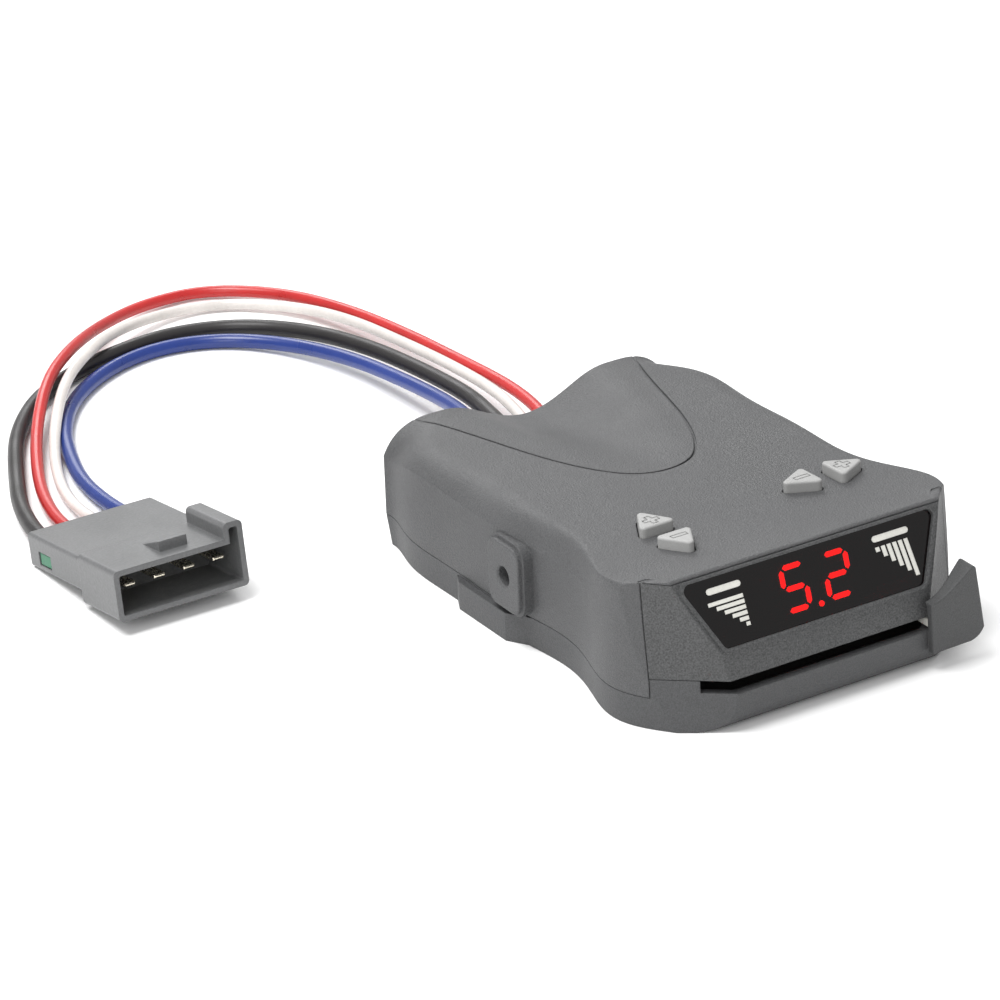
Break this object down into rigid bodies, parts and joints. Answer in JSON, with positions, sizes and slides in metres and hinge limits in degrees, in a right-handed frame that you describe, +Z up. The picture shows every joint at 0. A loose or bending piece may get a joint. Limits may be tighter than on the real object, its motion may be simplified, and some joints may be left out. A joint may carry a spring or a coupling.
{
  "type": "trailer brake controller",
  "caption": "Dash-mounted trailer brake control box with a digit display, triangular setting buttons, a sprung manual slider and a wired pigtail connector.",
  "frame": {"origin": "centre of the flat base, on the surface it stands on", "axes": "+Z up, the display faces -Y, +X to the right as seen by the driver"},
  "size_m": [0.1542, 0.2772, 0.0353],
  "materials": {
    "housing_plastic": "fine textured moulding",
    "cover_plastic": "fine textured moulding",
    "bezel_plastic": "coarse textured moulding",
    "lens": "smoked window",
    "module_plastic": "matt black",
    "lit_red": "lit display bars",
    "unlit_red": "dark display bars",
    "button_grey": "satin moulding",
    "switch_black": "matt",
    "plunger_plastic": "natural moulding",
    "circuit_board": "solder-mask green",
    "chip_black": "epoxy",
    "header_black": "moulded",
    "aluminium_plate": "milled",
    "zinc_steel": "zinc plated",
    "capacitor_sleeve": "shrink sleeve",
    "copper": "bright",
    "brass_terminal": "tinned",
    "nylon_white": "natural",
    "spring_steel": "tempered",
    "knob_plastic": "fine textured moulding",
    "black_rubber": "matt",
    "wire_red_pvc": "satin insulation",
    "wire_white_pvc": "satin insulation",
    "wire_black_pvc": "satin insulation",
    "wire_blue_pvc": "satin insulation",
    "connector_plastic": "satin moulding",
    "lock_green": "moulded"
  },
  "bodies": {
    "housing": {"top_housing": "housing_plastic", "bottom_cover": "cover_plastic", "front_bezel": "bezel_plastic", "display_lens": "lens", "display_module": "module_plastic", "lit_segments": "lit_red", "dark_segments": "unlit_red", "display_board": "circuit_board", "control_board": "circuit_board", "button_switches": "switch_black", "main_board": "circuit_board", "board_link_header": "header_black", "microcontroller": "chip_black", "driver_chips": "chip_black", "heat_spreader": "aluminium_plate", "power_transistors": "chip_black", "transistor_screws": "zinc_steel", "filter_capacitors": "capacitor_sleeve", "current_shunt": "copper", "protection_diodes": "chip_black", "wire_lugs": "brass_terminal", "inner_leads": "black_rubber", "board_screws": "zinc_steel", "housing_screws": "zinc_steel", "slider_track": "header_black", "slider_guide_rod": "spring_steel", "return_spring": "spring_steel", "spring_post": "nylon_white", "wire_strain_relief": "black_rubber", "connector_shell": "connector_plastic", "connector_lock": "lock_green", "connector_terminals": "brass_terminal", "wire_red": "wire_red_pvc", "wire_white": "wire_white_pvc", "wire_black": "wire_black_pvc", "wire_blue": "wire_blue_pvc"},
    "gain_plus": {"gain_plus_button": "button_grey", "gain_plus_plunger": "plunger_plastic"},
    "gain_minus": {"gain_minus_button": "button_grey", "gain_minus_plunger": "plunger_plastic"},
    "sync_minus": {"sync_minus_button": "button_grey", "sync_minus_plunger": "plunger_plastic"},
    "sync_plus": {"sync_plus_button": "button_grey", "sync_plus_plunger": "plunger_plastic"},
    "manual_slider": {"slider_knob": "knob_plastic", "slider_carriage": "nylon_white", "slider_wiper": "nylon_white"}
  },
  "joints": [
    {"name": "gain_plus_press", "type": "slide", "parent": "housing", "child": "gain_plus", "axis": [0, 0, -1], "range_m": [0, 0.0007], "stiffness_N_per_m": 1500, "springref_m": -0.0004},
    {"name": "gain_minus_press", "type": "slide", "parent": "housing", "child": "gain_minus", "axis": [0, 0, -1], "range_m": [0, 0.0007], "stiffness_N_per_m": 1500, "springref_m": -0.0004},
    {"name": "sync_minus_press", "type": "slide", "parent": "housing", "child": "sync_minus", "axis": [0, 0, -1], "range_m": [0, 0.0007], "stiffness_N_per_m": 1500, "springref_m": -0.0004},
    {"name": "sync_plus_press", "type": "slide", "parent": "housing", "child": "sync_plus", "axis": [0, 0, -1], "range_m": [0, 0.0007], "stiffness_N_per_m": 1500, "springref_m": -0.0004},
    {"name": "manual_slide", "type": "slide", "parent": "housing", "child": "manual_slider", "axis": [-1, 0, 0], "range_m": [0, 0.054], "stiffness_N_per_m": 20, "springref_m": -0.05}
  ]
}
